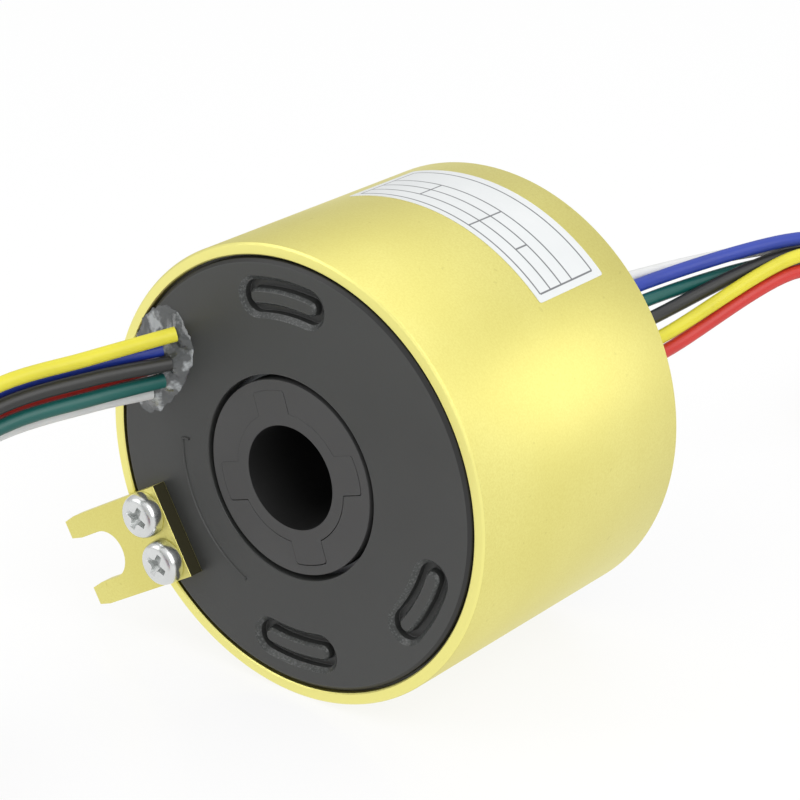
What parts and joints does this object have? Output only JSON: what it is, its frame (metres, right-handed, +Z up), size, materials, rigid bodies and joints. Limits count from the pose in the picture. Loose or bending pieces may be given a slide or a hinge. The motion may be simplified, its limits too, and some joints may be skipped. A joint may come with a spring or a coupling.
{
  "type": "slip ring",
  "caption": "Through-bore slip ring: a round gold metal housing with a forked anti-rotation tab, an inner turning tube with a rear clamp collar, and coloured leads from both halves.",
  "frame": {"origin": "centre of the through bore in the plane of the housing's front rim", "axes": "+Y along the bore from the front face with the tab to the rear collar, +Z up, with the sleeve lying on its side on the floor at the lowest Z"},
  "size_m": [0.0675, 0.1928, 0.0561],
  "materials": {
    "gold_anodised": "satin, bead blasted, pale gold",
    "grey_moulding": "fine satin, dark grey",
    "black_moulding": "satin, black",
    "plated_steel": "bright nickel plated",
    "black_steel": "black oxide",
    "bearing_steel": "ground",
    "cage_nylon": "moulded nylon",
    "gold_contact": "gold plated",
    "circuit_board": "green solder mask",
    "potting": "cloudy grey sealing compound",
    "label_film": "white printed film",
    "wire_bundle": "insulated leads",
    "cable_tie": "white nylon",
    "wire_yellow": "smooth insulation",
    "wire_blue": "smooth insulation",
    "wire_black": "smooth insulation",
    "wire_red": "smooth insulation",
    "wire_green": "smooth insulation",
    "wire_white": "smooth insulation"
  },
  "bodies": {
    "stator": {"housing_sleeve": "gold_anodised", "front_cover": "grey_moulding", "rear_cover": "grey_moulding", "tab_plate": "gold_anodised", "tab_screws": "plated_steel", "front_bearing_outer": "bearing_steel", "rear_bearing_outer": "bearing_steel", "brush_block_upper": "black_moulding", "brush_block_lower": "black_moulding", "brush_wires_upper": "gold_contact", "brush_wires_lower": "gold_contact", "brush_board_upper": "circuit_board", "brush_board_lower": "circuit_board", "stator_leads": "wire_white", "stator_potting": "potting", "name_label": "label_film", "stator_coil": "wire_bundle", "stator_tie": "cable_tie", "stator_wire_yellow": "wire_yellow", "stator_wire_blue": "wire_blue", "stator_wire_black": "wire_black", "stator_wire_red": "wire_red", "stator_wire_green": "wire_green", "stator_wire_white": "wire_white"},
    "rotor": {"rotor_shaft": "grey_moulding", "front_end_ring": "grey_moulding", "rear_collar": "grey_moulding", "collar_screws": "black_steel", "front_bearing_inner": "bearing_steel", "rear_bearing_inner": "bearing_steel", "front_spacer": "black_moulding", "rear_spacer": "black_moulding", "rotor_leads": "wire_white", "rotor_potting": "potting", "rotor_coil": "wire_bundle", "rotor_tie": "cable_tie", "contact_ring_1": "gold_contact", "contact_ring_2": "gold_contact", "contact_ring_3": "gold_contact", "contact_ring_4": "gold_contact", "contact_ring_5": "gold_contact", "contact_ring_6": "gold_contact", "barrier_1": "black_moulding", "barrier_2": "black_moulding", "barrier_3": "black_moulding", "barrier_4": "black_moulding", "barrier_5": "black_moulding", "barrier_6": "black_moulding", "barrier_7": "black_moulding", "rotor_wire_red": "wire_red", "rotor_wire_yellow": "wire_yellow", "rotor_wire_black": "wire_black", "rotor_wire_green": "wire_green", "rotor_wire_blue": "wire_blue", "rotor_wire_white": "wire_white"},
    "ball_cages": {"front_balls": "bearing_steel", "front_cage": "cage_nylon", "rear_balls": "bearing_steel", "rear_cage": "cage_nylon"}
  },
  "joints": [
    {"name": "rotor_spin", "type": "hinge", "parent": "stator", "child": "rotor", "pos_m": [0, 0, 0], "axis": [0, 1, 0], "continuous": true},
    {"name": "cage_spin", "type": "hinge", "parent": "stator", "child": "ball_cages", "pos_m": [0, 0, 0], "axis": [0, 1, 0], "continuous": true}
  ],
  "couplings": [
    {"joint": "cage_spin", "follows": "rotor_spin", "ratio": 0.4279}
  ]
}
